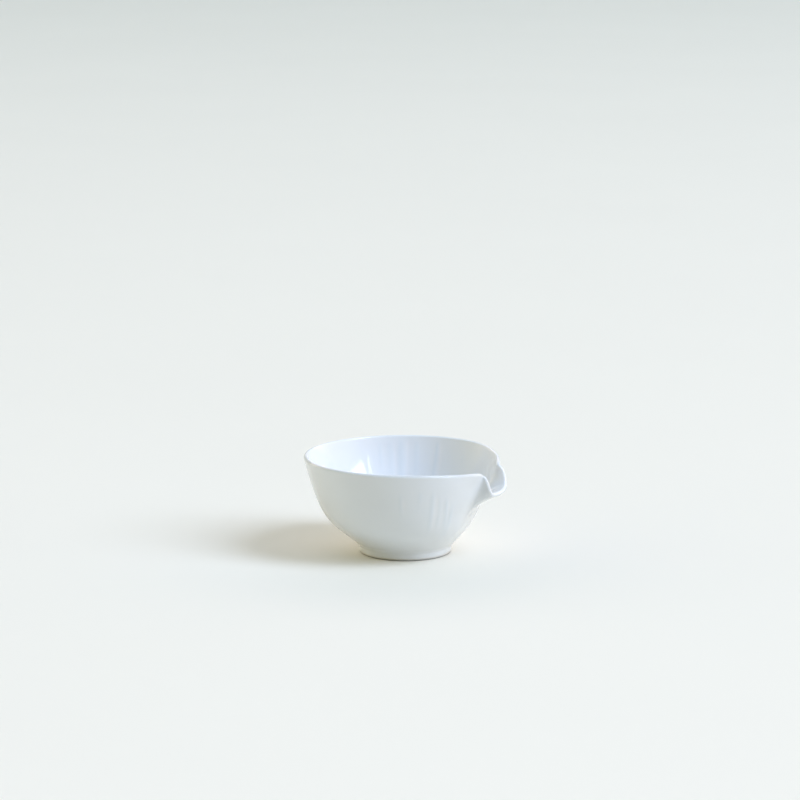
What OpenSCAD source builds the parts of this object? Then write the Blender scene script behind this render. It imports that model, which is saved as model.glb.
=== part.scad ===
// Footed pouring dish: a thin round bowl on a low foot ring, with one pinched pouring lip.
// Lengths in millimetres, angles in degrees. The origin is the middle of the foot's resting
// plane, +X points along the pouring lip and +Z points up.

/* [Rim and wall] */
// Outside radius of the unglazed body at the widest part of the rim
rim_radius = 59.7; // [52:0.1:68]
// Height of the widest part of the rim above the resting plane
rim_height = 56.6; // [48:0.1:66]
// Thickness of the wall at the rim
wall_rim = 2.2; // [1.8:0.1:3]
// Thickness of the wall just above the foot
wall_base = 3.6; // [3:0.1:4.6]
// Angle of the wall from the horizontal where it leaves the foot
base_slope = 41.5; // [36:0.5:48]
// Angle of the wall from the vertical where it reaches the rim
rim_slope = 14.0; // [8:0.5:20]
// How far the wall follows its starting angle at the foot
base_pull = 21.7; // [16:0.1:26]
// How far the wall follows its finishing angle at the rim
rim_pull = 41.9; // [34:0.1:46]

/* [Foot] */
// Height of the foot ring under the bowl
foot_height = 5.0; // [3.5:0.1:7]
// Radius of the line where the wall meets the foot
crease_radius = 27.3; // [23:0.1:32]
// Inward lean of the foot's outer wall, from its top to its bottom
foot_lean = 0.5; // [0.1:0.1:1.5]
// Width of the foot ring from the well to the outer wall
foot_width = 6.0; // [4.5:0.1:8]
// Rounding of the two edges of the foot ring that rest on the table
foot_edge = 0.8; // [0.4:0.1:1.2]
// Thickness of the floor above the foot's well
floor_thick = 3.6; // [2.8:0.1:5]

/* [Pouring lip] */
// Height above which the wall starts to bend toward the lip
lip_start = 16.0; // [10:0.5:26]
// Broad dip of the rim on both sides of the lip
sag = 7.6; // [4:0.1:9]
// Half width of the broad dip, as an angle round the bowl
sag_width = 36.0; // [30:0.5:42]
// Extra depth of the trough below the dipped rim
notch = 10.6; // [7:0.1:12]
// Half width of the trough, measured in columns of the wall
notch_half = 15.7; // [14:0.1:17]
// Softness of the trough's two upper corners
notch_soft = 1.7; // [1.5:0.1:3]
// How far the trough is drawn outward along its own direction
curl = 6.4; // [4:0.1:8]
// How far the last few millimetres of the end turn out
lip_out = 2.0; // [0:0.1:3]
// Inward pinch of the wall under and beside the trough
pinch = 4.2; // [3:0.1:6]
// Flattening of the round wall half way down, under the trough
press = 7.6; // [4:0.1:8]
// Depth of the hollow under each shoulder of the trough
dimple = 1.4; // [0:0.1:2]

/* [Glaze] */
// Thickness of the fired coat
glaze = 0.3; // [0.2:0.05:0.5]
// Height at which the outside coat stops above the resting plane
glaze_stop = 1.3; // [1.2:0.1:2]
// Depth to which the coat in the foot's well runs down the ring
well_run = 2.6; // [1:0.1:3]

/* [Hidden] */
fine = 1.5;
middle = 3;
coarse = 6;
columns = concat(
    [for (s = [-180 : coarse : -48 - coarse]) s],
    [for (s = [-48 : middle : -27 - middle]) s],
    [for (s = [-27 : fine : 27 - fine]) s],
    [for (s = [27 : middle : 48 - middle]) s],
    [for (s = [48 : coarse : 180 - coarse]) s]
);
wall_steps = [0, 0.13, 0.26, 0.38, 0.49, 0.59, 0.68, 0.76, 0.83, 0.89, 0.94, 0.975, 1];
last_step = len(wall_steps) - 1;
floor_step = 2;
floor_steps = [0.22, 0.44, 0.68];
gather_out = 7.5;
gather_out_at = 27.7;
gather_out_width = 11.2;
gather_in = 5.5;
gather_in_at = 13.6;
gather_in_width = 8.4;
mouth_more = 2;
mouth_soft = 2.4;
pinch_width = 40.2;
press_level = 0.44;
press_width = 39.5;
dimple_at = 31;
dimple_width = 9;
dimple_level = 0.82;
dimple_reach = 0.2;
half_wall = wall_rim / 2;
chord = 1 / cos(coarse / 2);
foot_top_radius = crease_radius / chord;
foot_bottom_radius = foot_top_radius - foot_lean;
well_radius = foot_bottom_radius - foot_width;
nudge = 0.001;

// Smooth bump of height one, centred on "at" and dying away over "width".
function bell(x, at, width) = exp(-pow((x - at) / width, 2));

function tanh(x) = 1 - 2 / (exp(2 * x) + 1);

// Cubic blend of four values.
function cubic(a, b, c, d, u) =
    pow(1 - u, 3) * a + 3 * u * pow(1 - u, 2) * b + 3 * u * u * (1 - u) * c + u * u * u * d;

// Round wall before the lip is pulled: radius and height from the crease (0) to the rim (1).
function wall_r(u) = cubic(
    crease_radius,
    crease_radius + base_pull * cos(base_slope),
    rim_radius - rim_pull * sin(rim_slope),
    rim_radius,
    u
);
function wall_z(u) = cubic(
    foot_height,
    foot_height + base_pull * sin(base_slope),
    rim_height - rim_pull * cos(rim_slope),
    rim_height,
    u
);

// Place along the round wall that lies at height z, by a few Newton steps.
function place_at(z, u, n) = n == 0 ? u : place_at(z, step_toward(z, u), n - 1);
function step_toward(z, u) =
    let (rise = (wall_z(u + nudge) - wall_z(u)) / nudge)
    min(1.05, max(0, u - (wall_z(u) - z) / rise));

// Flat-topped step: one in the middle, none past "half", softened over "soft".
function plateau(a, half, soft) = (1 + exp(-half / soft)) / (1 + exp((a - half) / soft));

// Smooth hump of height one, peaking at "peak", that is nothing at 0 and at 1.
function hump(w, peak) = pow(w / peak, 2) * pow((1 - w) / (1 - peak), 2 * (1 - peak) / peak);

// Outside of the unglazed wall at column s and place u.
function skin(s, u) =
    let (
        a = abs(s),
        side = sign(s),
        z0 = wall_z(u),
        h = max(0, (z0 - lip_start) / (rim_height - lip_start)),
        w = min(1, max(0, (z0 - foot_height) / (rim_height - foot_height))),
        v = plateau(a, notch_half, notch_soft),
        mouth = plateau(a, notch_half + mouth_more, mouth_soft),
        drop = sag * bell(a, 0, sag_width) * pow(h, 2.5)
            + notch * v * pow(h, 1.4),
        z = z0 - drop,
        q = drop < nudge ? u : place_at(z, max(0, u - drop / 60), 5),
        push = curl * mouth * pow(h, 2.9) + lip_out * v * pow(h, 8),
        squeeze = pinch * bell(a, 0, pinch_width) * h * h
            + press * bell(a, 0, press_width) * hump(w, press_level)
            + dimple * bell(a, dimple_at, dimple_width) * bell(h, dimple_level, dimple_reach),
        turn = gather_out * bell(a, gather_out_at, gather_out_width)
            - gather_in * bell(a, gather_in_at, gather_in_width),
        angle = s - side * tanh(a / 3) * turn * pow(h, 2.1),
        r = wall_r(q) - squeeze
    )
    [r * cos(angle) + push, r * sin(angle), z];

// Point on the wall with its outward direction and the direction across the rim.
function frame(s, u) =
    let (
        here = skin(s, u),
        up = u > nudge ? here - skin(s, u - nudge) : skin(s, u + nudge) - here,
        along = skin(s + 0.05, u) - skin(s - 0.05, u),
        outward = unit(cross(along, up)),
        across = unit(cross(outward, along))
    )
    [here, outward, across * sign(across * up)];
function unit(v) = v / norm(v);

frames = [for (u = wall_steps) [for (s = columns) frame(s, u)]];
thick = [for (u = wall_steps) wall_rim + (wall_base - wall_rim) * pow(1 - u, 1.5)];

// Rows of points, one per ring round the bowl; "coat" lifts them off the body.
function outer_row(i, coat) = [for (f = frames[i]) f[0] + coat * f[1]];
function inner_row(i, coat) = [for (f = frames[i]) f[0] - (thick[i] + coat) * f[1]];
function rim_row(turn, coat) = [
    for (f = frames[last_step])
        f[0] - half_wall * f[1]
            + (half_wall + coat) * (cos(turn) * f[1] + sin(turn) * f[2])
];

// Floor: leaves the last wall ring at its slope and becomes level at the middle.
function floor_middle(coat) = [0, 0, foot_height + floor_thick + coat];
function floor_row(k, coat) =
    let (
        ring = inner_row(floor_step, coat),
        above = inner_row(floor_step + 1, coat),
        middle_point = floor_middle(coat)
    )
    [
        for (j = [0 : len(columns) - 1])
            let (
                a = ring[j],
                way = unit(a - above[j]),
                reach = 0.9 * (a[2] - middle_point[2]) / -way[2],
                b = a + way * reach,
                c = [a[0] * 0.35, a[1] * 0.35, middle_point[2]]
            )
            cubic(a, b, c, middle_point, k)
    ];

function outside_wall(coat) = [for (i = [0 : last_step]) outer_row(i, coat)];
function inside_wall(coat) = [for (i = [last_step : -1 : floor_step]) inner_row(i, coat)];
function floor_rows(coat) = [for (k = floor_steps) floor_row(k, coat)];
function foot_row(z, coat) =
    let (r = chord * (foot_bottom_radius + foot_lean * z / foot_height) + coat)
    [for (s = columns) [r * cos(s), r * sin(s), z]];

// Two triangles for each cell between neighbouring rows, numbered from "first".
function cells(rows, count, first) = [
    for (i = [0 : rows - 2], j = [0 : count - 1], half = [0, 1])
        let (
            a = first + i * count + j,
            b = first + i * count + (j + 1) % count,
            c = b + count,
            d = a + count
        )
        half == 0 ? [a, c, b] : [a, d, c]
];
function turned(faces) = [for (f = faces) [f[0], f[2], f[1]]];
// Ring of triangles that joins two rows of equal length.
function band(one, two, count) = [
    for (j = [0 : count - 1], half = [0, 1])
        let (
            a = one + j,
            b = one + (j + 1) % count,
            c = two + (j + 1) % count,
            d = two + j
        )
        half == 0 ? [a, b, c] : [a, c, d]
];
// Triangles from one row to a single point.
function fan(tip, start, count) = [
    for (j = [0 : count - 1]) [tip, start + j, start + (j + 1) % count]
];
function flat_list(rows) = [for (row = rows) for (p = row) p];

module bowl_body() {
    rows = concat(
        outside_wall(0),
        [for (turn = [30 : 30 : 150]) rim_row(turn, 0)],
        inside_wall(0),
        floor_rows(0)
    );
    count = len(columns);
    total = len(rows) * count;
    color([0.93, 0.93, 0.9])
    polyhedron(
        points = concat(flat_list(rows), [[0, 0, foot_height], floor_middle(0)]),
        faces = concat(
            cells(len(rows), count, 0),
            fan(total, 0, count),
            turned(fan(total + 1, total - count, count))
        ),
        convexity = 6
    );
}

module foot_ring() {
    color([0.9, 0.89, 0.85])
    rotate_extrude($fn = 120)
    union() {
        polygon([
            [well_radius, foot_edge],
            [foot_bottom_radius, foot_edge],
            [foot_top_radius, foot_height],
            [well_radius, foot_height]
        ]);
        translate([well_radius + foot_edge, 0])
        square([foot_width - 2 * foot_edge, 2 * foot_edge]);
        translate([well_radius + foot_edge, foot_edge])
        circle(r = foot_edge, $fn = 32);
        translate([foot_bottom_radius - foot_edge, foot_edge])
        circle(r = foot_edge, $fn = 32);
    }
}

module outside_glaze() {
    inner = concat(
        [foot_row(glaze_stop, 0)],
        outside_wall(0),
        [for (turn = [30, 60, 90]) rim_row(turn, 0)]
    );
    outer = concat(
        [foot_row(glaze_stop, glaze), foot_row(foot_height - glaze, glaze)],
        [for (i = [1 : last_step]) outer_row(i, glaze)],
        [for (turn = [30, 60, 90]) rim_row(turn, glaze)]
    );
    count = len(columns);
    first = len(outer) * count;
    color([0.96, 0.97, 0.97])
    polyhedron(
        points = concat(flat_list(outer), flat_list(inner)),
        faces = concat(
            cells(len(outer), count, 0),
            turned(cells(len(inner), count, first)),
            band(0, first, count),
            turned(band(first - count, first + (len(inner) - 1) * count, count))
        ),
        convexity = 6
    );
}

module inside_glaze() {
    inner = concat(
        [for (turn = [90, 120, 150]) rim_row(turn, 0)],
        inside_wall(0),
        floor_rows(0)
    );
    outer = concat(
        [for (turn = [90, 120, 150]) rim_row(turn, glaze)],
        inside_wall(glaze),
        floor_rows(glaze)
    );
    count = len(columns);
    first = len(outer) * count;
    end = 2 * first;
    color([0.95, 0.97, 0.98])
    polyhedron(
        points = concat(flat_list(outer), flat_list(inner), [floor_middle(glaze), floor_middle(0)]),
        faces = concat(
            cells(len(outer), count, 0),
            turned(cells(len(inner), count, first)),
            band(0, first, count),
            turned(fan(end, first - count, count)),
            fan(end + 1, end - count, count)
        ),
        convexity = 6
    );
}

module foot_well_glaze() {
    color([0.95, 0.96, 0.96])
    rotate_extrude($fn = 120)
    polygon([
        [0, foot_height - glaze],
        [well_radius - glaze, foot_height - glaze],
        [well_radius - glaze, foot_height - well_run],
        [well_radius, foot_height - well_run],
        [well_radius, foot_height],
        [0, foot_height]
    ]);
}

bowl_body();
foot_ring();
outside_glaze();
inside_glaze();
foot_well_glaze();
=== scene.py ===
"""Looks of a footed porcelain pouring dish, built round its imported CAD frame.

Lengths in the shape functions are millimetres in the CAD's own frame: the origin is the
middle of the foot's resting plane, +X points along the pouring lip and +Z points up.
Meshes are written in metres.
"""

import math

import bpy
import numpy as np
from mathutils import Matrix, Vector


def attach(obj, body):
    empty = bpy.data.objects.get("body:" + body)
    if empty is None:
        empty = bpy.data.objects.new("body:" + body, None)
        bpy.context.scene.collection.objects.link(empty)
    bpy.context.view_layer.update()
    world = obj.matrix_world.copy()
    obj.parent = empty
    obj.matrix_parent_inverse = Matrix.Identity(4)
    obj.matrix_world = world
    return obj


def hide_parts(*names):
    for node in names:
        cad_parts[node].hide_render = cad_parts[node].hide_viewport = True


bl_info = {
    "name": "Footed pouring dish",
    "version": (1, 0, 0),
    "blender": (4, 5, 0),
    "location": "3D View > Sidebar > Dish",
    "description": "Glazed porcelain dish with a pouring lip, its floor, light and camera",
    "category": "Add Mesh",
}

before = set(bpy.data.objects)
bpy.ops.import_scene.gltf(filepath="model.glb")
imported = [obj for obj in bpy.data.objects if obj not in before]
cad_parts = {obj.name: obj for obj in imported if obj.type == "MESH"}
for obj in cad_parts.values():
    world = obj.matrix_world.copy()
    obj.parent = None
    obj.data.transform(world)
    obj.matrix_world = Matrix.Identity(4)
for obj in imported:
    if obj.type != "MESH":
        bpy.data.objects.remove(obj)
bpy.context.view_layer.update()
MM = 0.001

# The thrown wall, as in the CAD.
RIM_RADIUS, RIM_HEIGHT = 59.7, 56.6
WALL_RIM, WALL_BASE = 2.2, 3.6
BASE_SLOPE, RIM_SLOPE = math.radians(41.5), math.radians(14.0)
BASE_PULL, RIM_PULL = 21.7, 41.9
# The foot.
FOOT_HEIGHT, CREASE_RADIUS, FOOT_LEAN = 5.0, 27.3, 0.5
FOOT_WIDTH, FOOT_EDGE, FLOOR_THICK = 6.0, 0.8, 3.6
CHORD = 1 / math.cos(math.radians(3))
FOOT_TOP = CREASE_RADIUS / CHORD
FOOT_BOTTOM = FOOT_TOP - FOOT_LEAN
WELL_RADIUS = FOOT_BOTTOM - FOOT_WIDTH
# The pouring lip.
LIP_START, SAG, SAG_WIDTH = 16.0, 7.6, 36.0
NOTCH, NOTCH_HALF, NOTCH_SOFT = 10.6, 15.7, 1.7
CURL, LIP_OUT = 6.4, 2.0
MOUTH_MORE, MOUTH_SOFT = 2.0, 2.4
PINCH, PINCH_WIDTH = 4.2, 40.2
PRESS, PRESS_LEVEL, PRESS_WIDTH = 7.6, 0.44, 39.5
DIMPLE, DIMPLE_AT, DIMPLE_WIDTH = 1.4, 31.0, 9.0
DIMPLE_LEVEL, DIMPLE_REACH = 0.82, 0.20
GATHER_OUT, GATHER_OUT_AT, GATHER_OUT_WIDTH = 7.5, 27.7, 11.2
GATHER_IN, GATHER_IN_AT, GATHER_IN_WIDTH = 5.5, 13.6, 8.4
# The glaze.
GLAZE, GLAZE_STOP, WELL_RUN = 0.3, 1.3, 2.6
# The coat is this much thinner than the CAD's on average, and never thinner than the least.
COAT_THINNER, COAT_LEAST = 0.12, 0.11
# Inside, it gathers to its full thickness over the floor, below this share of the rim's height.
POOL_TOP, POOL_FADE = 0.36, 0.10


def unit(v):
    """Each vector divided by its length."""
    return v / np.linalg.norm(v, axis=-1, keepdims=True)


def bell(x, at, width):
    """Bump of height one: e to the power of minus ((x - at) / width) squared."""
    return np.exp(-(((x - at) / width) ** 2))


def plateau(a, half, soft):
    """Flat-topped step: one at a = 0, a half near a = half, softened over soft."""
    return (1 + math.exp(-half / soft)) / (1 + np.exp((a - half) / soft))


def hump(w, peak):
    """Hump of height one at peak, nothing at 0 and 1: a power of w times one of 1 - w."""
    return (w / peak) ** 2 * ((1 - w) / (1 - peak)) ** (2 * (1 - peak) / peak)


def smooth(x):
    """Three x squared minus two x cubed, with x held between nought and one."""
    x = np.clip(x, 0, 1)
    return x * x * (3 - 2 * x)


def cubic(a, b, c, d, u):
    """Cubic Bezier blend of four values at u."""
    return (1 - u) ** 3 * a + 3 * u * (1 - u) ** 2 * b + 3 * u * u * (1 - u) * c + u**3 * d


def wall(u):
    """Radius and height of the round wall from the crease (0) to the rim (1), a cubic curve."""
    r = cubic(
        CREASE_RADIUS,
        CREASE_RADIUS + BASE_PULL * math.cos(BASE_SLOPE),
        RIM_RADIUS - RIM_PULL * math.sin(RIM_SLOPE),
        RIM_RADIUS,
        u,
    )
    z = cubic(
        FOOT_HEIGHT,
        FOOT_HEIGHT + BASE_PULL * math.sin(BASE_SLOPE),
        RIM_HEIGHT - RIM_PULL * math.cos(RIM_SLOPE),
        RIM_HEIGHT,
        u,
    )
    return r, z


def skin(s, u):
    """Outside of the wall at column angle s and place u.

    The rim dips by a broad bell plus a flat-topped notch, and every point slides down the
    round wall by that dip, found by Newton steps. The columns then gather toward the
    notch's two sides, the wall is pinched and pressed in beside and under it, and the end
    is pushed out along X.
    """
    s = (s + 180) % 360 - 180
    a, side = np.abs(s), np.sign(s)
    z0 = wall(u)[1]
    h = np.clip((z0 - LIP_START) / (RIM_HEIGHT - LIP_START), 0, None)
    w = np.clip((z0 - FOOT_HEIGHT) / (RIM_HEIGHT - FOOT_HEIGHT), 0, 1)
    v = plateau(a, NOTCH_HALF, NOTCH_SOFT)
    mouth = plateau(a, NOTCH_HALF + MOUTH_MORE, MOUTH_SOFT)
    drop = SAG * bell(a, 0, SAG_WIDTH) * h**2.5 + NOTCH * v * h**1.4
    z = z0 - drop
    q = np.clip(u - drop / 60, 0, 1)
    for _ in range(6):
        here, there = wall(q)[1], wall(q + 1e-3)[1]
        q = np.clip(q - (here - z) / ((there - here) / 1e-3), 0, 1.05)
    push = CURL * mouth * h**2.9 + LIP_OUT * v * h**8
    squeeze = PINCH * bell(a, 0, PINCH_WIDTH) * h * h
    squeeze = squeeze + DIMPLE * bell(a, DIMPLE_AT, DIMPLE_WIDTH) * bell(
        h, DIMPLE_LEVEL, DIMPLE_REACH
    )
    squeeze = squeeze + PRESS * bell(a, 0, PRESS_WIDTH) * hump(w, PRESS_LEVEL)
    turn = GATHER_OUT * bell(a, GATHER_OUT_AT, GATHER_OUT_WIDTH)
    turn = turn - GATHER_IN * bell(a, GATHER_IN_AT, GATHER_IN_WIDTH)
    angle = np.radians(s - side * np.tanh(a / 3) * turn * h**2.1)
    r = wall(q)[0] - squeeze
    return np.stack(np.broadcast_arrays(r * np.cos(angle) + push, r * np.sin(angle), z), -1)


def edge_frame(s, u):
    """Point on the wall, its outward direction and the direction across the rim."""
    step, turn = 1e-3, 0.05
    here = skin(s, u)
    up = here - skin(s, u - step) if u > step else skin(s, u + step) - here
    along = skin(s + turn, u) - skin(s - turn, u)
    outward = unit(np.cross(along, up))
    across = unit(np.cross(outward, along))
    across = across * np.sign((across * up).sum(-1, keepdims=True))
    return here, outward, across


def thickness(u):
    """Wall thickness: thin at the rim, thicker toward the foot as (1 - u) to the power 1.5."""
    return WALL_RIM + (WALL_BASE - WALL_RIM) * (1 - u) ** 1.5


def ring(s, r, z):
    """Level circle of radius r at height z, one point for each column angle."""
    t = np.radians(s)
    return np.stack([r * np.cos(t), r * np.sin(t), np.full(len(s), float(z))], -1)


# Glaze runs: (column angle in degrees, level at the top, level at the bottom, width and
# height in millimetres, drift in degrees from top to bottom). Level is height over rim height.
OUTSIDE_RUNS = [
    (-74.5, 0.86, 0.50, 1.0, 0.070, 0.0),
    (-72.2, 0.80, 0.52, 1.2, -0.060, 0.0),
    (-55.5, 0.88, 0.30, 1.2, 0.090, 1.0),
    (-52.6, 0.84, 0.36, 1.0, -0.065, 1.0),
    (-50.0, 0.80, 0.30, 1.0, 0.060, 1.5),
    (-46.5, 0.80, 0.34, 1.2, 0.100, 5.0),
    (-44.2, 0.76, 0.36, 1.0, -0.060, 5.0),
    (-41.0, 0.66, 0.24, 1.4, 0.080, 4.0),
]
INSIDE_RUNS = [
    (124.4, 0.98, 0.55, 1.3, 0.070, 0.0),
    (118.0, 1.00, 0.50, 1.8, 0.060, 0.0),
    (115.0, 1.00, 0.45, 1.0, -0.060, 0.0),
    (111.3, 1.02, 0.40, 1.8, 0.100, 0.0),
    (107.0, 1.02, 0.35, 1.2, -0.065, 0.0),
    (101.5, 1.00, 0.40, 1.6, 0.090, 0.0),
    (88.5, 1.02, 0.40, 1.0, 0.110, 1.0),
    (86.0, 1.00, 0.36, 1.1, -0.065, -1.0),
]


def runs(angle, level, radius, list_of_runs):
    """Sum of long soft ridges: a bell across each run times a smooth window along it."""
    total = np.zeros(np.broadcast(angle, level).shape)
    for at, top, bottom, width, height, drift in list_of_runs:
        share = np.clip((top - level) / (top - bottom), 0, 1)
        across = (angle - at - drift * share + 180) % 360 - 180
        window = smooth((top - level) / 0.10) * smooth((level - bottom) / 0.22)
        total += height * bell(np.radians(across) * radius, 0, width) * window
    return total


def scattered_runs(seed, count, keep_out):
    """Runs like the placed ones at seeded random angles, none inside the keep-out arcs."""
    rng = np.random.default_rng(seed)
    found = []
    while len(found) < count:
        at = rng.uniform(-180, 180)
        top, length = rng.uniform(0.7, 1.0), rng.uniform(0.2, 0.6)
        width, height = rng.uniform(1.0, 2.6), rng.uniform(0.02, 0.06) * rng.choice([-1, 1])
        drift = rng.uniform(-2, 2)
        if not any(low < at < high for low, high in keep_out):
            found.append((at, top, top - length, width, height, drift))
    return found


def swell(angle, level, seed):
    """Slow unevenness of the coat: a few cosines round the bowl and along its height."""
    rng = np.random.default_rng(seed)
    total = np.zeros(np.broadcast(angle, level).shape)
    for waves in (2, 3, 5, 8, 11):
        phase, tilt = rng.uniform(0, 2 * math.pi), rng.uniform(-4, 4)
        total += np.cos(np.radians(angle) * waves + phase + tilt * level) / waves
    return total


def grid_faces(rows, cols, first=0):
    """Quads between neighbouring rows of closed rings, numbered from first."""
    i, j = np.meshgrid(np.arange(rows - 1), np.arange(cols), indexing="ij")
    a = first + i * cols + j
    b = first + i * cols + (j + 1) % cols
    return np.stack([a, b, b + cols, a + cols], -1).reshape(-1, 4)


def ring_faces(one, two, cols):
    """Quads that join two separate rings of equal length."""
    j = np.arange(cols)
    k = (j + 1) % cols
    return np.stack([one + j, one + k, two + k, two + j], -1)


def fan_faces(start, tip, cols):
    """Triangles from a ring to one point, as quads with the tip twice."""
    j = np.arange(cols)
    tips = np.full(cols, tip)
    return np.stack([start + j, start + (j + 1) % cols, tips, tips], -1)


def grid_normals(rows):
    """Normals of a grid of closed rings from the differences between neighbours."""
    along = np.roll(rows, -1, 1) - np.roll(rows, 1, 1)
    up = np.gradient(rows, axis=0)
    return unit(np.cross(along, up) + 1e-12)


def make_mesh(name, points, quads, normals=None):
    """A mesh object from millimetre points and quads; a doubled last corner makes a triangle."""
    tri = quads[:, 2] == quads[:, 3]
    sizes = np.where(tri, 3, 4)
    mask = np.ones(quads.shape, bool)
    mask[tri, 3] = False
    loops = quads[mask]
    mesh = bpy.data.meshes.new(name)
    mesh.vertices.add(len(points))
    mesh.vertices.foreach_set("co", (points * MM).astype(np.float32).ravel())
    mesh.loops.add(len(loops))
    mesh.loops.foreach_set("vertex_index", loops.astype(np.int32))
    mesh.polygons.add(len(quads))
    mesh.polygons.foreach_set("loop_start", np.concatenate([[0], np.cumsum(sizes)[:-1]]))
    mesh.polygons.foreach_set("use_smooth", np.ones(len(quads), bool))
    mesh.update(calc_edges=True)
    if mesh.validate():
        raise RuntimeError(name + " has faces that can't be built")
    if normals is not None:
        mesh.normals_split_custom_set_from_vertices(normals.astype(np.float32).tolist())
    obj = bpy.data.objects.new(name, mesh)
    bpy.context.scene.collection.objects.link(obj)
    return obj


def columns():
    """Column angles: close together round the lip, wider apart over the rest."""
    near = np.arange(-36, 36, 0.36)
    return np.concatenate([near, np.arange(36, 324, 0.6)])


def outside_grid(s):
    """The body's outside under the glaze, from the glaze line to the top of the rim.

    Returns points, outward directions and levels, one row per ring. The crease above the
    foot is a quadratic curve between the foot's side and the wall.
    """
    points, out, level = [], [], []

    def add(p, n, z):
        points.append(p)
        out.append(n)
        level.append(z / RIM_HEIGHT)

    flat = ring(s, 1, 0)
    side = lambda z: CHORD * (FOOT_BOTTOM + FOOT_LEAN * z / FOOT_HEIGHT)
    low, high = FOOT_HEIGHT - 1.3, 0.04
    for z in np.linspace(GLAZE_STOP, low, 9):
        add(ring(s, side(z), z), flat, z)
    r1, z1 = wall(high)
    r0, z0 = wall(high - 1e-3)
    slope = unit(np.array([z1 - z0, r0 - r1]))
    for t in np.linspace(0, 1, 10)[1:-1]:
        r = (1 - t) ** 2 * side(low) + 2 * t * (1 - t) * CREASE_RADIUS + t * t * r1
        z = (1 - t) ** 2 * low + 2 * t * (1 - t) * FOOT_HEIGHT + t * t * z1
        n = unit(np.array([1 - smooth(t) * (1 - slope[0]), slope[1] * smooth(t)]))
        add(ring(s, r, z), flat * n[0] + np.array([0, 0, n[1]]), z)
    for u in np.linspace(high, 1, 62):
        here, outward, _ = edge_frame(s, u)
        add(here, outward, wall(u)[1])
    here, outward, across = edge_frame(s, 1.0)
    for t in np.radians(np.linspace(0, 90, 13)[1:]):
        n = math.cos(t) * outward + math.sin(t) * across
        add(here - WALL_RIM / 2 * outward + WALL_RIM / 2 * n, n, RIM_HEIGHT)
    return np.array(points), np.array(out), np.array(level)[:, None]


def inside_grid(s):
    """The body's inside under the glaze, from the top of the rim to near the floor's middle."""
    points, out, level = [], [], []

    def add(p, n, z):
        points.append(p)
        out.append(n)
        level.append(z / RIM_HEIGHT)

    here, outward, across = edge_frame(s, 1.0)
    for t in np.radians(np.linspace(90, 180, 13)):
        n = math.cos(t) * outward + math.sin(t) * across
        add(here - WALL_RIM / 2 * outward + WALL_RIM / 2 * n, n, RIM_HEIGHT)
    wall_end, steepness, flatness = 0.26, 0.9, 0.35
    for u in np.linspace(1, wall_end, 46)[1:]:
        here, outward, _ = edge_frame(s, u)
        add(here - thickness(u) * outward, -outward, wall(u)[1])
    last, before = points[-1], points[-2]
    way = unit(last - before)
    middle = np.array([0, 0, FOOT_HEIGHT + FLOOR_THICK])
    reach = steepness * (last[:, 2:] - middle[2]) / -way[:, 2:]
    b = last + way * reach
    c = last * [flatness, flatness, 0] + [0, 0, middle[2]]
    steep = out[-1]
    for t in np.linspace(0, 1, 26)[1:-1]:
        p = cubic(last, b, c, middle, t)
        n = unit(steep * (1 - smooth(t)) + np.array([0, 0, 1]) * smooth(t))
        add(p, n, p[:, 2].mean())
    return np.array(points), np.array(out), np.array(level)[:, None]


def coat_height(s, level, placed, seed, keep_out):
    """Thickness of the coat: a mean, slow swells and long runs, never above the CAD's."""
    radius = 30 + 28 * np.clip(level, 0, 1)
    extra = runs(s[None, :], level, radius, placed)
    extra += runs(s[None, :], level, radius, scattered_runs(seed, 16, keep_out))
    extra += 0.02 * swell(s[None, :], level, seed + 1)
    fade = smooth((level - 0.12) / 0.15) * smooth((1.0 - level) / 0.05)
    return np.clip(GLAZE - COAT_THINNER + extra * fade, COAT_LEAST, GLAZE)


def spread(s, placed_out, placed_in):
    """The glazed skin from the foot line over the rim to the floor, as one run of rings.

    Gives the rings, their normals, the coat's thickness, the bare surface under it, and how
    many rings belong to the outside. The lower edge of the coat is a quarter ellipse, and over
    the floor the coat is blended smoothly to its full thickness.
    """
    po, no, lo = outside_grid(s)
    pi, ni, li = inside_grid(s)
    co = coat_height(s, lo, placed_out, 11, [(-150, -76), (-36, 36)]) * np.ones((1, len(s)))
    ci = coat_height(s, li, placed_in, 23, [(76, 170), (-36, 36)]) * np.ones((1, len(s)))
    pool = smooth((POOL_TOP - li) / POOL_FADE)
    ci += pool * (GLAZE - ci)
    start = np.arange(len(po))[:, None] / 3.0
    lift = 0.10 * (1 + swell(s, 0.0, 31) / 2) * np.clip(1 - start / 2, 0, 1)
    po[:, :, 2] += lift
    co *= np.sqrt(1 - np.clip(1 - start, 0, 1) ** 2)
    bare = np.concatenate([po, pi[1:]])
    coat = np.concatenate([co, ci[1:]])
    rings = bare + coat[:, :, None] * np.concatenate([no, ni[1:]])
    return rings, grid_normals(rings), coat, bare, len(po)


def chain(name, rings, normals, coat, tips=(), closed=False):
    """A closed thin solid from a chain of rings, capped by points or joined end to end."""
    count, cols = rings.shape[:2]
    points, quads = rings.reshape(-1, 3), [grid_faces(count, cols)]
    normals, coat = normals.reshape(-1, 3), coat.reshape(-1)
    if closed:
        quads.append(ring_faces((count - 1) * cols, 0, cols))
    else:
        first, last = tips
        quads.append(fan_faces(0, len(points), cols)[:, [1, 0, 2, 3]])
        quads.append(fan_faces((count - 1) * cols, len(points) + 1, cols))
        points = np.concatenate([points, [first, last]])
        sign = 1 if last[2] > first[2] else -1
        normals = np.concatenate([normals, [[0, 0, -sign], [0, 0, sign]]])
        coat = np.concatenate([coat, [coat[0], coat[-1]]])
    obj = make_mesh(name, points, np.concatenate(quads), normals)
    layer = obj.data.attributes.new("coat", "FLOAT", "POINT")
    layer.data.foreach_set("value", (coat / GLAZE).astype(np.float32))
    return obj


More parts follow.
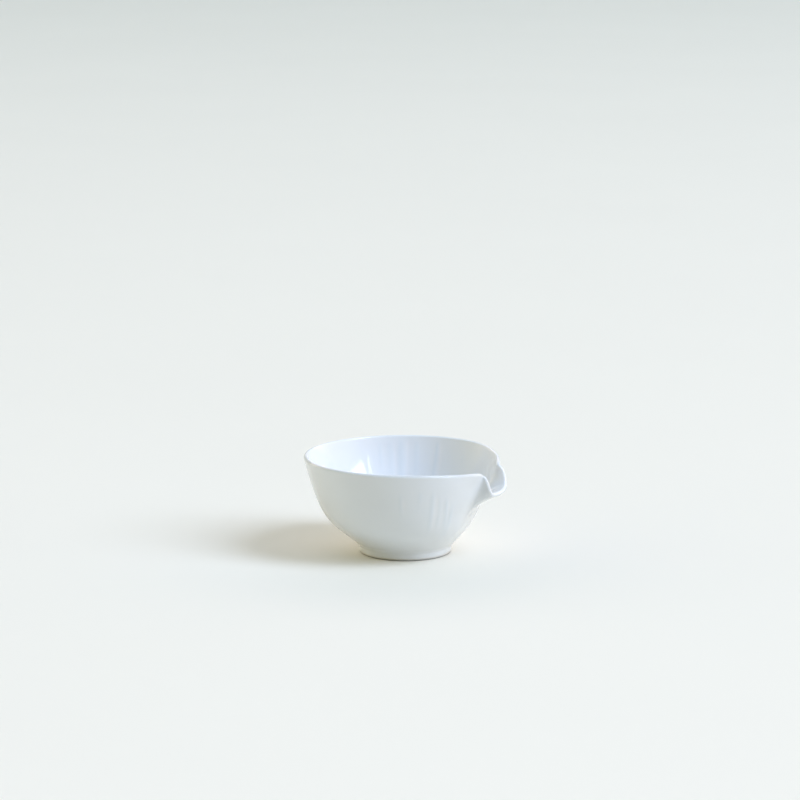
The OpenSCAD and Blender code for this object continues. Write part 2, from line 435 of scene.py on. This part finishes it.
def node_tree(name):
    """A new material with its shader and a helper that adds and links nodes."""
    material = bpy.data.materials.new(name)
    material.use_nodes = True
    tree = material.node_tree
    shader = tree.nodes["Principled BSDF"]

    def add(kind, **inputs):
        node = tree.nodes.new(kind)
        for key, value in inputs.items():
            target = node.inputs[key.replace("_", " ")]
            if isinstance(value, bpy.types.NodeSocket):
                tree.links.new(value, target)
            else:
                target.default_value = value
        return node

    return material, tree, shader, add


def ramp(add, factor, stops):
    """A colour ramp with the given (place, colour) stops."""
    node = add("ShaderNodeValToRGB", Fac=factor)
    band = node.color_ramp
    while len(band.elements) < len(stops):
        band.elements.new(0.5)
    for element, (place, colour) in zip(band.elements, stops):
        element.position = place
        element.color = (*colour, 1)
    return node.outputs["Color"]


def product(tree, add, one, two):
    """Two colours multiplied."""
    mix = add("ShaderNodeMix")
    mix.data_type, mix.blend_type = "RGBA", "MULTIPLY"
    mix.inputs["Factor"].default_value = 1.0
    tree.links.new(one, mix.inputs["A"])
    tree.links.new(two, mix.inputs["B"])
    return mix.outputs["Result"]


def grey(value):
    """A neutral colour."""
    return (value, value, value)


def glaze_material(name, colour, settings):
    """Clear glaze over white porcelain: glossy, a little cooler where the coat lies thicker,
    with fine unevenness in colour, gloss and surface."""
    material, tree, shader, add = node_tree(name)
    place = add("ShaderNodeTexCoord").outputs["Object"]
    coat = add("ShaderNodeAttribute")
    coat.attribute_name = "coat"
    r, g, b = colour
    thick = (r * 0.92, g * 0.955, b * 0.98)
    tint = ramp(add, coat.outputs["Fac"], [(0.35, (r, g, b)), (0.95, thick)])
    cloud = add("ShaderNodeTexNoise", Vector=place, Scale=26.0, Detail=3.0)
    mottle = ramp(add, cloud.outputs["Fac"], [(0.3, grey(0.97)), (0.7, grey(1.0))])
    tree.links.new(product(tree, add, tint, mottle), shader.inputs["Base Color"])
    gloss = add("ShaderNodeTexNoise", Vector=place, Scale=60.0, Detail=2.0)
    low, high = settings.roughness * 0.8, settings.roughness * 1.25
    level = ramp(add, gloss.outputs["Fac"], [(0.35, grey(low)), (0.65, grey(high))])
    tree.links.new(level, shader.inputs["Roughness"])
    skin_noise = add("ShaderNodeTexNoise", Vector=place, Scale=420.0, Detail=1.0)
    bump = add("ShaderNodeBump", Height=skin_noise.outputs["Fac"], Strength=0.25)
    bump.inputs["Distance"].default_value = settings.ripple
    tree.links.new(bump.outputs["Normal"], shader.inputs["Normal"])
    shader.inputs["IOR"].default_value = 1.52
    return material


def biscuit_material(name, colour, rings_bump):
    """Bare fired porcelain: matte, faintly mottled, with fine grain and turning rings, and painted
    contact shadow: darker grey along the edge where it rests on the table."""
    material, tree, shader, add = node_tree(name)
    place = add("ShaderNodeTexCoord").outputs["Object"]
    cloud = add("ShaderNodeTexNoise", Vector=place, Scale=90.0, Detail=4.0)
    r, g, b = colour
    dull = (r * 0.92, g * 0.91, b * 0.88)
    tone = ramp(add, cloud.outputs["Fac"], [(0.3, dull), (0.65, (r, g, b))])
    # Painted contact shadow: within about a millimetre of the table the colour turns dark grey.
    height = add("ShaderNodeSeparateXYZ", Vector=place).outputs["Z"]
    rise = add("ShaderNodeMapRange", Value=height)
    rise.inputs["From Min"].default_value = 0.0003
    rise.inputs["From Max"].default_value = 0.0011
    painted_contact_shade = ramp(add, rise.outputs["Result"], [(0.0, grey(0.38)), (1.0, grey(1.0))])
    tree.links.new(product(tree, add, tone, painted_contact_shade), shader.inputs["Base Color"])
    grain = add("ShaderNodeTexNoise", Vector=place, Scale=2600.0, Detail=2.0)
    wave = add("ShaderNodeTexWave", Vector=place, Scale=260.0, Distortion=1.5)
    wave.wave_type, wave.rings_direction = "RINGS", "Z"
    height = add("ShaderNodeMath")
    height.operation = "MULTIPLY_ADD"
    tree.links.new(wave.outputs["Fac"], height.inputs[0])
    height.inputs[1].default_value = rings_bump
    tree.links.new(grain.outputs["Fac"], height.inputs[2])
    bump = add("ShaderNodeBump", Height=height.outputs["Value"], Strength=0.6)
    bump.inputs["Distance"].default_value = 0.00008
    tree.links.new(bump.outputs["Normal"], shader.inputs["Normal"])
    shader.inputs["Roughness"].default_value = 0.62
    shader.inputs["IOR"].default_value = 1.5
    return material


def give(obj, material):
    """The object's one material."""
    obj.data.materials.clear()
    obj.data.materials.append(material)


def seat(obj, material, node):
    """Finishes a piece: its material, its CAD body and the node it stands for."""
    give(obj, material)
    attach(obj, "root")
    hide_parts(node)


def colour_property(name, description, default):
    """A colour in linear light."""
    return bpy.props.FloatVectorProperty(
        name=name, description=description, subtype="COLOR", size=3, min=0, max=1, default=default
    )


def light_property(name, description, default):
    """The colour and strength of a light together, in linear light."""
    return bpy.props.FloatVectorProperty(
        name=name, description=description, size=3, min=0, max=10, default=default
    )


class DishGlaze(bpy.types.PropertyGroup):
    """Colour and surface of the glaze."""

    # One white glaze in two tones: the inside is set lighter and bluer as painted light bounced round
    # inside the bowl, and the outside darker as painted shade.
    outside: colour_property("Outside", "Colour of the glaze outside with painted shade", (0.775, 0.79, 0.80))
    inside: colour_property("Inside", "Colour of the glaze inside with painted light", (0.885, 0.89, 0.90))
    roughness: bpy.props.FloatProperty(
        name="Roughness", description="Mean roughness of the glaze", default=0.09, min=0, max=1
    )
    ripple: bpy.props.FloatProperty(
        name="Ripple",
        description="Height of the finest unevenness of the glaze",
        default=0.00002,
        min=0,
        unit="LENGTH",
    )


class DishBiscuit(bpy.types.PropertyGroup):
    """Colour of the porcelain where it is bare."""

    # Greyer and darker than the glaze: partly the bare porcelain's own tone, partly painted shade of
    # the foot.
    colour: colour_property("Colour", "Colour of the bare porcelain", (0.68, 0.68, 0.66))
    rings: bpy.props.FloatProperty(
        name="Turning rings", description="Depth of the turning rings", default=0.6, min=0
    )


class DishStage(bpy.types.PropertyGroup):
    """Floor, light and camera."""

    floor: colour_property("Floor", "Colour of the floor", (0.88, 0.855, 0.77))
    above: light_property("Above", "Soft light from above", (0.34, 0.45, 0.55))
    right: light_property("Right", "Soft light from the view's right", (0.80, 0.57, 0.1))
    left: light_property("Left", "Soft light from the view's left", (1.32, 1.19, 0.72))
    front: light_property("Front", "Soft light from the camera's side", (0.0, 0.0, 0.0))
    behind: light_property("Behind", "Soft light from behind the dish", (3.50, 2.88, 2.72))
    window: light_property("Window", "Colour of the window's light", (0.68, 0.78, 1.0))
    window_power: bpy.props.FloatProperty(
        name="Window power",
        description="Power of the window's light",
        default=2470,
        min=0,
        unit="POWER",
    )
    distance: bpy.props.FloatProperty(
        name="Distance", description="From the camera to the dish", default=2.0, unit="LENGTH"
    )
    azimuth: bpy.props.FloatProperty(
        name="Azimuth",
        description="Turn of the camera round the dish",
        default=math.radians(18.5),
        unit="ROTATION",
    )
    elevation: bpy.props.FloatProperty(
        name="Elevation",
        description="Height of the camera above the horizon",
        default=math.radians(10.8),
        unit="ROTATION",
    )


class DISH_OT_body(bpy.types.Operator):
    """Gives the thrown body under the glaze its porcelain"""

    bl_idname = "dish.body"
    bl_label = "Porcelain body"

    def execute(self, context):
        settings = context.scene.dish_biscuit
        material = biscuit_material("biscuit body", settings.colour, settings.rings)
        give(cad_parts["bowl_body"], material)
        return {"FINISHED"}


class DISH_OT_outer_coat(bpy.types.Operator):
    """Makes the outside glaze from the foot line to the top of the rim"""

    bl_idname = "dish.outer_coat"
    bl_label = "Outside glaze"

    def execute(self, context):
        settings = context.scene.dish_glaze
        rings, normals, coat, bare, n = spread(columns(), OUTSIDE_RUNS, INSIDE_RUNS)
        back = bare[[n - 1, n - 4, n - 7, n - 10, *range(n - 13, 16, -6), 9, 4]]
        loop = np.concatenate([rings[:n], back])
        turned = np.concatenate([normals[:n], grid_normals(back)])
        depth = np.concatenate([coat[:n], np.full(back.shape[:2], 0.6 * GLAZE)])
        obj = chain("outer_coat", loop, turned, depth, closed=True)
        # The outside tone holds painted shade.
        material = glaze_material("glaze outside with painted shade", settings.outside, settings)
        seat(obj, material, "outside_glaze")
        return {"FINISHED"}


class DISH_OT_inner_coat(bpy.types.Operator):
    """Makes the inside glaze from the top of the rim to the middle of the floor"""

    bl_idname = "dish.inner_coat"
    bl_label = "Inside glaze"

    def execute(self, context):
        settings = context.scene.dish_glaze
        rings, normals, coat, bare, n = spread(columns(), OUTSIDE_RUNS, INSIDE_RUNS)
        rings, normals, coat, bare = (x[n - 1 :] for x in (rings, normals, coat, bare))
        back = bare[[0, 3, 6, 9, *range(12, len(bare), 6), len(bare) - 1]][::-1]
        line = np.concatenate([back, rings])
        turned = np.concatenate([grid_normals(back), normals])
        depth = np.concatenate([np.full(back.shape[:2], 0.6 * GLAZE), coat])
        middle = np.array([0, 0, FOOT_HEIGHT + FLOOR_THICK])
        top = middle + [0, 0, float(coat[-1].mean())]
        obj = chain("inner_coat", line, turned, depth, tips=(middle, top))
        # The inside tone holds painted light.
        material = glaze_material("glaze inside with painted light", settings.inside, settings)
        seat(obj, material, "inside_glaze")
        return {"FINISHED"}


def profile_rings(s, profile):
    """Rings for a list of (radius, height) pairs."""
    return np.array([ring(s, r, z) for r, z in profile])


def arc(cr, cz, radius, start, stop, count):
    """Points of a circular arc in the (radius, height) plane, angles in degrees."""
    t = np.radians(np.linspace(start, stop, count))
    return [(cr + radius * math.cos(x), cz + radius * math.sin(x)) for x in t]


class DISH_OT_foot(bpy.types.Operator):
    """Makes the foot ring with its two rounded resting edges"""

    bl_idname = "dish.foot"
    bl_label = "Foot ring"

    def execute(self, context):
        s = np.arange(0, 360, 1.5)
        line = [(WELL_RADIUS, z) for z in np.linspace(FOOT_HEIGHT, FOOT_EDGE, 8)[:-1]]
        line += arc(WELL_RADIUS + FOOT_EDGE, FOOT_EDGE, FOOT_EDGE, 180, 270, 9)
        resting = np.linspace(WELL_RADIUS + FOOT_EDGE, FOOT_BOTTOM - FOOT_EDGE, 8)
        line += [(r, 0) for r in resting[1:-1]]
        line += arc(FOOT_BOTTOM - FOOT_EDGE, FOOT_EDGE, FOOT_EDGE, 270, 360, 9)
        line += [
            (FOOT_BOTTOM + FOOT_LEAN * z / FOOT_HEIGHT, z)
            for z in np.linspace(FOOT_EDGE, FOOT_HEIGHT, 8)[1:]
        ]
        rings = profile_rings(s, line)
        obj = chain("foot_band", rings, grid_normals(rings), np.zeros(rings.shape[:2]), closed=True)
        settings = context.scene.dish_biscuit
        material = biscuit_material("biscuit foot", settings.colour, settings.rings)
        seat(obj, material, "foot_ring")
        return {"FINISHED"}


class DISH_OT_well(bpy.types.Operator):
    """Makes the glaze in the foot's well: a flat coat with a run down the ring"""

    bl_idname = "dish.well"
    bl_label = "Well glaze"

    def execute(self, context):
        s = np.arange(0, 360, 1.5)
        top, low = FOOT_HEIGHT, FOOT_HEIGHT - WELL_RUN
        side, corner, edge = WELL_RADIUS - GLAZE, 0.9, 0.5
        line = [(r, top) for r in np.linspace(0.5, WELL_RADIUS, 8)]
        line += [(WELL_RADIUS, z) for z in np.linspace(top, low, 5)[1:]]
        line += [
            (WELL_RADIUS - GLAZE * math.sin(t), low + edge * (1 - math.cos(t)))
            for t in (0.4, 0.8, 1.2, math.pi / 2)
        ]
        line += [(side, z) for z in np.linspace(low + edge, top - GLAZE - corner, 5)[1:-1]]
        line += arc(side - corner, top - GLAZE - corner, corner, 0, 90, 8)
        line += [(r, top - GLAZE) for r in np.linspace(side - corner, 0.5, 14)[1:]]
        rings = profile_rings(s, line)
        tips = ([0, 0, top], [0, 0, top - GLAZE])
        depth = np.full(rings.shape[:2], 0.7 * GLAZE)
        obj = chain("well_coat", rings, -grid_normals(rings), depth, tips=tips)
        settings = context.scene.dish_glaze
        # The well takes the outside tone, with its painted shade.
        material = glaze_material("glaze well with painted shade", settings.outside, settings)
        seat(obj, material, "foot_well_glaze")
        return {"FINISHED"}


def sweep(width, flat, bend, rise, count):
    """Floor that curves up into a backdrop: a level run, a quarter circle, a straight rise.

    The profile runs away from the camera and is carried straight across the view.
    """
    t = np.linspace(0, math.pi / 2, count)
    away = np.concatenate([np.linspace(-flat[0], flat[1], 30), flat[1] + bend * np.sin(t[1:])])
    high = np.concatenate([np.zeros(30), bend * (1 - np.cos(t[1:]))])
    away = np.append(away, away[-1])
    high = np.append(high, high[-1] + rise)
    across = np.linspace(-width / 2, width / 2, 21)
    x, a = np.meshgrid(across, away)
    return x, a, np.broadcast_to(high[:, None], x.shape)


def aim(obj, place, target):
    """Puts a light or camera at a place, with its -Z axis toward the target."""
    obj.location = place
    obj.rotation_euler = (Vector(target) - Vector(place)).to_track_quat("-Z", "Y").to_euler()


class DISH_OT_stage(bpy.types.Operator):
    """Makes the pale floor, the soft light and the camera"""

    bl_idname = "dish.stage"
    bl_label = "Floor, light and camera"

    def execute(self, context):
        settings = context.scene.dish_stage
        a, e = settings.azimuth, settings.elevation
        right = np.array([math.cos(a), math.sin(a), 0])
        level = np.array([-math.sin(a), math.cos(a), 0])
        forward = level * math.cos(e) - np.array([0, 0, math.sin(e)])
        up = np.cross(right, forward)
        self.camera(context, settings, right, forward, up)
        self.floor(context, settings, right, level)
        self.light(context, settings, right, level)
        return {"FINISHED"}

    def camera(self, context, settings, right, forward, up):
        """A long lens, aimed so that the dish stands low and in the middle of the view."""
        seen_width, aside, above = 0.4736, 0.003256, 0.0892736
        place = -aside * right + above * up - settings.distance * forward
        data = bpy.data.cameras.new("camera")
        data.sensor_width = 36
        data.lens = settings.distance / seen_width * data.sensor_width
        data.clip_end = 60
        obj = bpy.data.objects.new("camera", data)
        context.scene.collection.objects.link(obj)
        rows = [[right[i], up[i], -forward[i], place[i]] for i in range(3)]
        obj.matrix_world = Matrix([*rows, [0, 0, 0, 1]])
        context.scene.camera = obj

    def floor(self, context, settings, right, level):
        """One seamless sheet of pale matte paper."""
        x, away, high = sweep(16.0, (7.0, 7.0), 1.5, 2.5, 24)
        points = x[..., None] * right + away[..., None] * level + high[..., None] * [0, 0, 1]
        rows, cols = x.shape
        i, j = np.meshgrid(np.arange(rows - 1), np.arange(cols - 1), indexing="ij")
        k = (i * cols + j).reshape(-1)
        quads = np.stack([k, k + 1, k + cols + 1, k + cols], -1)
        obj = make_mesh("floor", points.reshape(-1, 3) / MM, quads)
        material, tree, shader, add = node_tree("pale paper")
        place = add("ShaderNodeTexCoord").outputs["Object"]
        cloud = add("ShaderNodeTexNoise", Vector=place, Scale=3.0, Detail=2.0)
        r, g, b = settings.floor
        shade = (r * 0.99, g * 0.99, b * 0.99)
        tone = ramp(add, cloud.outputs["Fac"], [(0.3, shade), (0.7, (r, g, b))])
        tree.links.new(tone, shader.inputs["Base Color"])
        shader.inputs["Roughness"].default_value = 0.75
        shader.inputs["Specular IOR Level"].default_value = 0.3
        give(obj, material)

    def light(self, context, settings, right, level):
        """Soft light that changes with direction, and a window of one wide and one narrow pane."""
        world = bpy.data.worlds.new("soft light")
        context.scene.world = world
        world.use_nodes = True
        tree = world.node_tree
        sides = [
            (right, settings.right),
            (-right, settings.left),
            (-level, settings.front),
            (level, settings.behind),
        ]
        self.sky(tree, sides, settings.above)
        far, low, high = 16.0, 19.0, 60.0
        panes = [(10.0, 35.0), (39.0, 42.0)]
        rise = math.radians((low + high) / 2)
        tall = 2 * far * math.tan(math.radians(high - low) / 2)
        wide = [2 * far * math.tan(math.radians(b - a) / 2) * math.cos(rise) for a, b in panes]
        for (start, stop), width in zip(panes, wide):
            data = bpy.data.lights.new("window", "AREA")
            data.shape, data.size, data.size_y = "RECTANGLE", width, tall
            data.energy = settings.window_power * width / sum(wide)
            data.color = settings.window
            obj = bpy.data.objects.new("window", data)
            context.scene.collection.objects.link(obj)
            turn = math.radians((start + stop) / 2)
            way = (right * math.cos(turn) - level * math.sin(turn)) * math.cos(rise)
            aim(obj, far * (way + np.array([0, 0, math.sin(rise)])), (0, 0, 0))
        context.scene.view_settings.view_transform = "Standard"

    def sky(self, tree, sides, above):
        """World light: one colour overhead, and lower down a blend of four sides, each by the
        square of its share of the level direction."""

        def number(operation, *values):
            node = tree.nodes.new("ShaderNodeMath")
            node.operation = operation
            return connect(node, values, "Value")

        def vector(operation, *values, output="Vector"):
            node = tree.nodes.new("ShaderNodeVectorMath")
            node.operation = operation
            return connect(node, values, output)

        def connect(node, values, output):
            for socket, value in zip(node.inputs, values):
                if isinstance(value, bpy.types.NodeSocket):
                    tree.links.new(value, socket)
                else:
                    socket.default_value = value
            return node.outputs[output]

        way = tree.nodes.new("ShaderNodeTexCoord").outputs["Generated"]
        z = vector("DOT_PRODUCT", way, (0, 0, 1), output="Value")
        overhead = tree.nodes.new("ShaderNodeMapRange")
        overhead.interpolation_type = "SMOOTHSTEP"
        overhead.inputs["From Min"].default_value = 0.2
        overhead.inputs["From Max"].default_value = 0.9
        tree.links.new(z, overhead.inputs["Value"])
        top = overhead.outputs["Result"]
        level_part = number("MAXIMUM", number("SUBTRACT", 1.0, number("MULTIPLY", z, z)), 0.0001)
        rest = number("DIVIDE", number("SUBTRACT", 1.0, top), level_part)
        total = vector("MULTIPLY", tuple(above), top)
        for side, colour in sides:
            share = number("MAXIMUM", vector("DOT_PRODUCT", way, tuple(side), output="Value"), 0.0)
            share = number("MULTIPLY", number("MULTIPLY", share, share), rest)
            total = vector("MULTIPLY_ADD", tuple(colour), share, total)
        back = tree.nodes["Background"]
        tree.links.new(total, back.inputs["Color"])
        back.inputs["Strength"].default_value = 1.0


class DISH_PT_panel(bpy.types.Panel):
    """Lists the dish's pieces, colours and stage"""

    bl_idname = "DISH_PT_panel"
    bl_label = "Pouring dish"
    bl_space_type = "VIEW_3D"
    bl_region_type = "UI"
    bl_category = "Dish"

    def draw(self, context):
        for group in (context.scene.dish_glaze, context.scene.dish_biscuit, context.scene.dish_stage):
            for key in group.bl_rna.properties.keys():
                if key not in ("rna_type", "name"):
                    self.layout.prop(group, key)
        for operator in OPERATORS:
            self.layout.operator(operator.bl_idname)


OPERATORS = (
    DISH_OT_body,
    DISH_OT_outer_coat,
    DISH_OT_inner_coat,
    DISH_OT_foot,
    DISH_OT_well,
    DISH_OT_stage,
)
GROUPS = {"dish_glaze": DishGlaze, "dish_biscuit": DishBiscuit, "dish_stage": DishStage}
CLASSES = (*GROUPS.values(), *OPERATORS, DISH_PT_panel)


def register():
    """Registers the classes and hangs the settings on the scene."""
    for each in CLASSES:
        bpy.utils.register_class(each)
    for key, group in GROUPS.items():
        setattr(bpy.types.Scene, key, bpy.props.PointerProperty(type=group))


def unregister():
    """Takes the settings and classes away again."""
    for key in GROUPS:
        delattr(bpy.types.Scene, key)
    for each in reversed(CLASSES):
        bpy.utils.unregister_class(each)


def main():
    """Builds every piece and the stage."""
    register()
    bpy.ops.dish.body()
    bpy.ops.dish.outer_coat()
    bpy.ops.dish.inner_coat()
    bpy.ops.dish.foot()
    bpy.ops.dish.well()
    bpy.ops.dish.stage()


if __name__ == "__main__":
    main()
